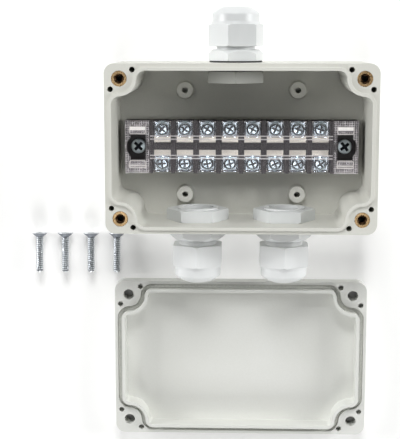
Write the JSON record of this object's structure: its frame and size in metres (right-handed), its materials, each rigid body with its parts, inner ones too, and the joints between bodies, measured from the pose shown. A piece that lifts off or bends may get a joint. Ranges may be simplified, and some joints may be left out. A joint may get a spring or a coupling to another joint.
{
  "type": "waterproof junction box",
  "caption": "Open plastic junction box with a covered terminal block, domed cable glands, and its lid and lid screws lying beside it.",
  "frame": {"origin": "centre of the box's flat back face", "axes": "+Z points out of the opening, +Y towards the single gland, +X to the right as the box is seen from the front with the single gland up"},
  "size_m": [0.2135, 0.2713, 0.06],
  "materials": {
    "housing_abs": "satin",
    "gland_nylon": "satin",
    "black_rubber": "matte",
    "sleeve_rubber": "matte",
    "seal_rubber": "matte",
    "brass": "machined",
    "zinc_steel": "zinc plated",
    "strip_nickel": "nickel plated",
    "block_plastic": "moulded",
    "clear_plastic": "clear, smoky"
  },
  "bodies": {
    "box": {"box_body": "housing_abs", "brass_inserts": "brass", "lid": "housing_abs", "lid_seal": "seal_rubber", "lid_screws": "zinc_steel", "terminal_base": "block_plastic", "terminal_strips": "strip_nickel", "terminal_mounting_screws": "zinc_steel", "top_inner_washer": "black_rubber", "top_gland_body": "gland_nylon", "top_gasket": "black_rubber", "top_locknut": "gland_nylon", "left_gland_body": "gland_nylon", "left_gasket": "black_rubber", "left_locknut": "gland_nylon", "right_gland_body": "gland_nylon", "right_gasket": "black_rubber", "right_locknut": "gland_nylon"},
    "terminal_cover": {"terminal_cover": "clear_plastic"},
    "top_sleeve": {"top_sleeve": "sleeve_rubber"},
    "top_dome_nut": {"top_dome_nut": "gland_nylon"},
    "left_sleeve": {"left_sleeve": "sleeve_rubber"},
    "left_dome_nut": {"left_dome_nut": "gland_nylon"},
    "right_sleeve": {"right_sleeve": "sleeve_rubber"},
    "right_dome_nut": {"right_dome_nut": "gland_nylon"},
    "clamp_washer_1": {"clamp_washer_1": "zinc_steel"},
    "clamp_screw_1": {"clamp_screw_1": "zinc_steel"},
    "clamp_washer_2": {"clamp_washer_2": "zinc_steel"},
    "clamp_screw_2": {"clamp_screw_2": "zinc_steel"},
    "clamp_washer_3": {"clamp_washer_3": "zinc_steel"},
    "clamp_screw_3": {"clamp_screw_3": "zinc_steel"},
    "clamp_washer_4": {"clamp_washer_4": "zinc_steel"},
    "clamp_screw_4": {"clamp_screw_4": "zinc_steel"},
    "clamp_washer_5": {"clamp_washer_5": "zinc_steel"},
    "clamp_screw_5": {"clamp_screw_5": "zinc_steel"},
    "clamp_washer_6": {"clamp_washer_6": "zinc_steel"},
    "clamp_screw_6": {"clamp_screw_6": "zinc_steel"},
    "clamp_washer_7": {"clamp_washer_7": "zinc_steel"},
    "clamp_screw_7": {"clamp_screw_7": "zinc_steel"},
    "clamp_washer_8": {"clamp_washer_8": "zinc_steel"},
    "clamp_screw_8": {"clamp_screw_8": "zinc_steel"},
    "clamp_washer_9": {"clamp_washer_9": "zinc_steel"},
    "clamp_screw_9": {"clamp_screw_9": "zinc_steel"},
    "clamp_washer_10": {"clamp_washer_10": "zinc_steel"},
    "clamp_screw_10": {"clamp_screw_10": "zinc_steel"},
    "clamp_washer_11": {"clamp_washer_11": "zinc_steel"},
    "clamp_screw_11": {"clamp_screw_11": "zinc_steel"},
    "clamp_washer_12": {"clamp_washer_12": "zinc_steel"},
    "clamp_screw_12": {"clamp_screw_12": "zinc_steel"},
    "clamp_washer_13": {"clamp_washer_13": "zinc_steel"},
    "clamp_screw_13": {"clamp_screw_13": "zinc_steel"},
    "clamp_washer_14": {"clamp_washer_14": "zinc_steel"},
    "clamp_screw_14": {"clamp_screw_14": "zinc_steel"},
    "clamp_washer_15": {"clamp_washer_15": "zinc_steel"},
    "clamp_screw_15": {"clamp_screw_15": "zinc_steel"},
    "clamp_washer_16": {"clamp_washer_16": "zinc_steel"},
    "clamp_screw_16": {"clamp_screw_16": "zinc_steel"}
  },
  "joints": [
    {"name": "cover_lift", "type": "slide", "parent": "box", "child": "terminal_cover", "axis": [0, 0, 1], "range_m": [0, 0.05]},
    {"name": "top_dome_turn", "type": "hinge", "parent": "top_sleeve", "child": "top_dome_nut", "pos_m": [-0.0035, 0.07, 0.028], "axis": [0, 1, 0], "range_deg": [-360, 1080]},
    {"name": "top_sleeve_slide", "type": "slide", "parent": "box", "child": "top_sleeve", "axis": [0, 1, 0], "range_m": [-0.00152, 0.00452]},
    {"name": "left_dome_turn", "type": "hinge", "parent": "left_sleeve", "child": "left_dome_nut", "pos_m": [-0.0265, -0.07, 0.028], "axis": [0, -1, 0], "range_deg": [-360, 1080]},
    {"name": "left_sleeve_slide", "type": "slide", "parent": "box", "child": "left_sleeve", "axis": [0, -1, 0], "range_m": [-0.00152, 0.00452]},
    {"name": "right_dome_turn", "type": "hinge", "parent": "right_sleeve", "child": "right_dome_nut", "pos_m": [0.0265, -0.07, 0.028], "axis": [0, -1, 0], "range_deg": [-360, 1080]},
    {"name": "right_sleeve_slide", "type": "slide", "parent": "box", "child": "right_sleeve", "axis": [0, -1, 0], "range_m": [-0.00152, 0.00452]},
    {"name": "clamp_turn_1", "type": "hinge", "parent": "clamp_washer_1", "child": "clamp_screw_1", "pos_m": [-0.049, 0.0087, 0.015], "axis": [0, 0, 1], "range_deg": [0, 1081]},
    {"name": "clamp_lift_1", "type": "slide", "parent": "box", "child": "clamp_washer_1", "axis": [0, 0, 1], "range_m": [0, 0.0021]},
    {"name": "clamp_turn_2", "type": "hinge", "parent": "clamp_washer_2", "child": "clamp_screw_2", "pos_m": [-0.049, -0.0127, 0.015], "axis": [0, 0, 1], "range_deg": [0, 1081]},
    {"name": "clamp_lift_2", "type": "slide", "parent": "box", "child": "clamp_washer_2", "axis": [0, 0, 1], "range_m": [0, 0.0021]},
    {"name": "clamp_turn_3", "type": "hinge", "parent": "clamp_washer_3", "child": "clamp_screw_3", "pos_m": [-0.035, 0.0087, 0.015], "axis": [0, 0, 1], "range_deg": [0, 1081]},
    {"name": "clamp_lift_3", "type": "slide", "parent": "box", "child": "clamp_washer_3", "axis": [0, 0, 1], "range_m": [0, 0.0021]},
    {"name": "clamp_turn_4", "type": "hinge", "parent": "clamp_washer_4", "child": "clamp_screw_4", "pos_m": [-0.035, -0.0127, 0.015], "axis": [0, 0, 1], "range_deg": [0, 1081]},
    {"name": "clamp_lift_4", "type": "slide", "parent": "box", "child": "clamp_washer_4", "axis": [0, 0, 1], "range_m": [0, 0.0021]},
    {"name": "clamp_turn_5", "type": "hinge", "parent": "clamp_washer_5", "child": "clamp_screw_5", "pos_m": [-0.021, 0.0087, 0.015], "axis": [0, 0, 1], "range_deg": [0, 1081]},
    {"name": "clamp_lift_5", "type": "slide", "parent": "box", "child": "clamp_washer_5", "axis": [0, 0, 1], "range_m": [0, 0.0021]},
    {"name": "clamp_turn_6", "type": "hinge", "parent": "clamp_washer_6", "child": "clamp_screw_6", "pos_m": [-0.021, -0.0127, 0.015], "axis": [0, 0, 1], "range_deg": [0, 1081]},
    {"name": "clamp_lift_6", "type": "slide", "parent": "box", "child": "clamp_washer_6", "axis": [0, 0, 1], "range_m": [0, 0.0021]},
    {"name": "clamp_turn_7", "type": "hinge", "parent": "clamp_washer_7", "child": "clamp_screw_7", "pos_m": [-0.007, 0.0087, 0.015], "axis": [0, 0, 1], "range_deg": [0, 1081]},
    {"name": "clamp_lift_7", "type": "slide", "parent": "box", "child": "clamp_washer_7", "axis": [0, 0, 1], "range_m": [0, 0.0021]},
    {"name": "clamp_turn_8", "type": "hinge", "parent": "clamp_washer_8", "child": "clamp_screw_8", "pos_m": [-0.007, -0.0127, 0.015], "axis": [0, 0, 1], "range_deg": [0, 1081]},
    {"name": "clamp_lift_8", "type": "slide", "parent": "box", "child": "clamp_washer_8", "axis": [0, 0, 1], "range_m": [0, 0.0021]},
    {"name": "clamp_turn_9", "type": "hinge", "parent": "clamp_washer_9", "child": "clamp_screw_9", "pos_m": [0.007, 0.0087, 0.015], "axis": [0, 0, 1], "range_deg": [0, 1081]},
    {"name": "clamp_lift_9", "type": "slide", "parent": "box", "child": "clamp_washer_9", "axis": [0, 0, 1], "range_m": [0, 0.0021]},
    {"name": "clamp_turn_10", "type": "hinge", "parent": "clamp_washer_10", "child": "clamp_screw_10", "pos_m": [0.007, -0.0127, 0.015], "axis": [0, 0, 1], "range_deg": [0, 1081]},
    {"name": "clamp_lift_10", "type": "slide", "parent": "box", "child": "clamp_washer_10", "axis": [0, 0, 1], "range_m": [0, 0.0021]},
    {"name": "clamp_turn_11", "type": "hinge", "parent": "clamp_washer_11", "child": "clamp_screw_11", "pos_m": [0.021, 0.0087, 0.015], "axis": [0, 0, 1], "range_deg": [0, 1081]},
    {"name": "clamp_lift_11", "type": "slide", "parent": "box", "child": "clamp_washer_11", "axis": [0, 0, 1], "range_m": [0, 0.0021]},
    {"name": "clamp_turn_12", "type": "hinge", "parent": "clamp_washer_12", "child": "clamp_screw_12", "pos_m": [0.021, -0.0127, 0.015], "axis": [0, 0, 1], "range_deg": [0, 1081]},
    {"name": "clamp_lift_12", "type": "slide", "parent": "box", "child": "clamp_washer_12", "axis": [0, 0, 1], "range_m": [0, 0.0021]},
    {"name": "clamp_turn_13", "type": "hinge", "parent": "clamp_washer_13", "child": "clamp_screw_13", "pos_m": [0.035, 0.0087, 0.015], "axis": [0, 0, 1], "range_deg": [0, 1081]},
    {"name": "clamp_lift_13", "type": "slide", "parent": "box", "child": "clamp_washer_13", "axis": [0, 0, 1], "range_m": [0, 0.0021]},
    {"name": "clamp_turn_14", "type": "hinge", "parent": "clamp_washer_14", "child": "clamp_screw_14", "pos_m": [0.035, -0.0127, 0.015], "axis": [0, 0, 1], "range_deg": [0, 1081]},
    {"name": "clamp_lift_14", "type": "slide", "parent": "box", "child": "clamp_washer_14", "axis": [0, 0, 1], "range_m": [0, 0.0021]},
    {"name": "clamp_turn_15", "type": "hinge", "parent": "clamp_washer_15", "child": "clamp_screw_15", "pos_m": [0.049, 0.0087, 0.015], "axis": [0, 0, 1], "range_deg": [0, 1081]},
    {"name": "clamp_lift_15", "type": "slide", "parent": "box", "child": "clamp_washer_15", "axis": [0, 0, 1], "range_m": [0, 0.0021]},
    {"name": "clamp_turn_16", "type": "hinge", "parent": "clamp_washer_16", "child": "clamp_screw_16", "pos_m": [0.049, -0.0127, 0.015], "axis": [0, 0, 1], "range_deg": [0, 1081]},
    {"name": "clamp_lift_16", "type": "slide", "parent": "box", "child": "clamp_washer_16", "axis": [0, 0, 1], "range_m": [0, 0.0021]}
  ],
  "couplings": [
    {"joint": "top_sleeve_slide", "follows": "top_dome_turn", "m_per_rad": 0.00023873},
    {"joint": "left_sleeve_slide", "follows": "left_dome_turn", "m_per_rad": 0.00023873},
    {"joint": "right_sleeve_slide", "follows": "right_dome_turn", "m_per_rad": 0.00023873},
    {"joint": "clamp_turn_1", "follows": "clamp_lift_1", "rad_per_m": 8976},
    {"joint": "clamp_turn_2", "follows": "clamp_lift_2", "rad_per_m": 8976},
    {"joint": "clamp_turn_3", "follows": "clamp_lift_3", "rad_per_m": 8976},
    {"joint": "clamp_turn_4", "follows": "clamp_lift_4", "rad_per_m": 8976},
    {"joint": "clamp_turn_5", "follows": "clamp_lift_5", "rad_per_m": 8976},
    {"joint": "clamp_turn_6", "follows": "clamp_lift_6", "rad_per_m": 8976},
    {"joint": "clamp_turn_7", "follows": "clamp_lift_7", "rad_per_m": 8976},
    {"joint": "clamp_turn_8", "follows": "clamp_lift_8", "rad_per_m": 8976},
    {"joint": "clamp_turn_9", "follows": "clamp_lift_9", "rad_per_m": 8976},
    {"joint": "clamp_turn_10", "follows": "clamp_lift_10", "rad_per_m": 8976},
    {"joint": "clamp_turn_11", "follows": "clamp_lift_11", "rad_per_m": 8976},
    {"joint": "clamp_turn_12", "follows": "clamp_lift_12", "rad_per_m": 8976},
    {"joint": "clamp_turn_13", "follows": "clamp_lift_13", "rad_per_m": 8976},
    {"joint": "clamp_turn_14", "follows": "clamp_lift_14", "rad_per_m": 8976},
    {"joint": "clamp_turn_15", "follows": "clamp_lift_15", "rad_per_m": 8976},
    {"joint": "clamp_turn_16", "follows": "clamp_lift_16", "rad_per_m": 8976}
  ]
}
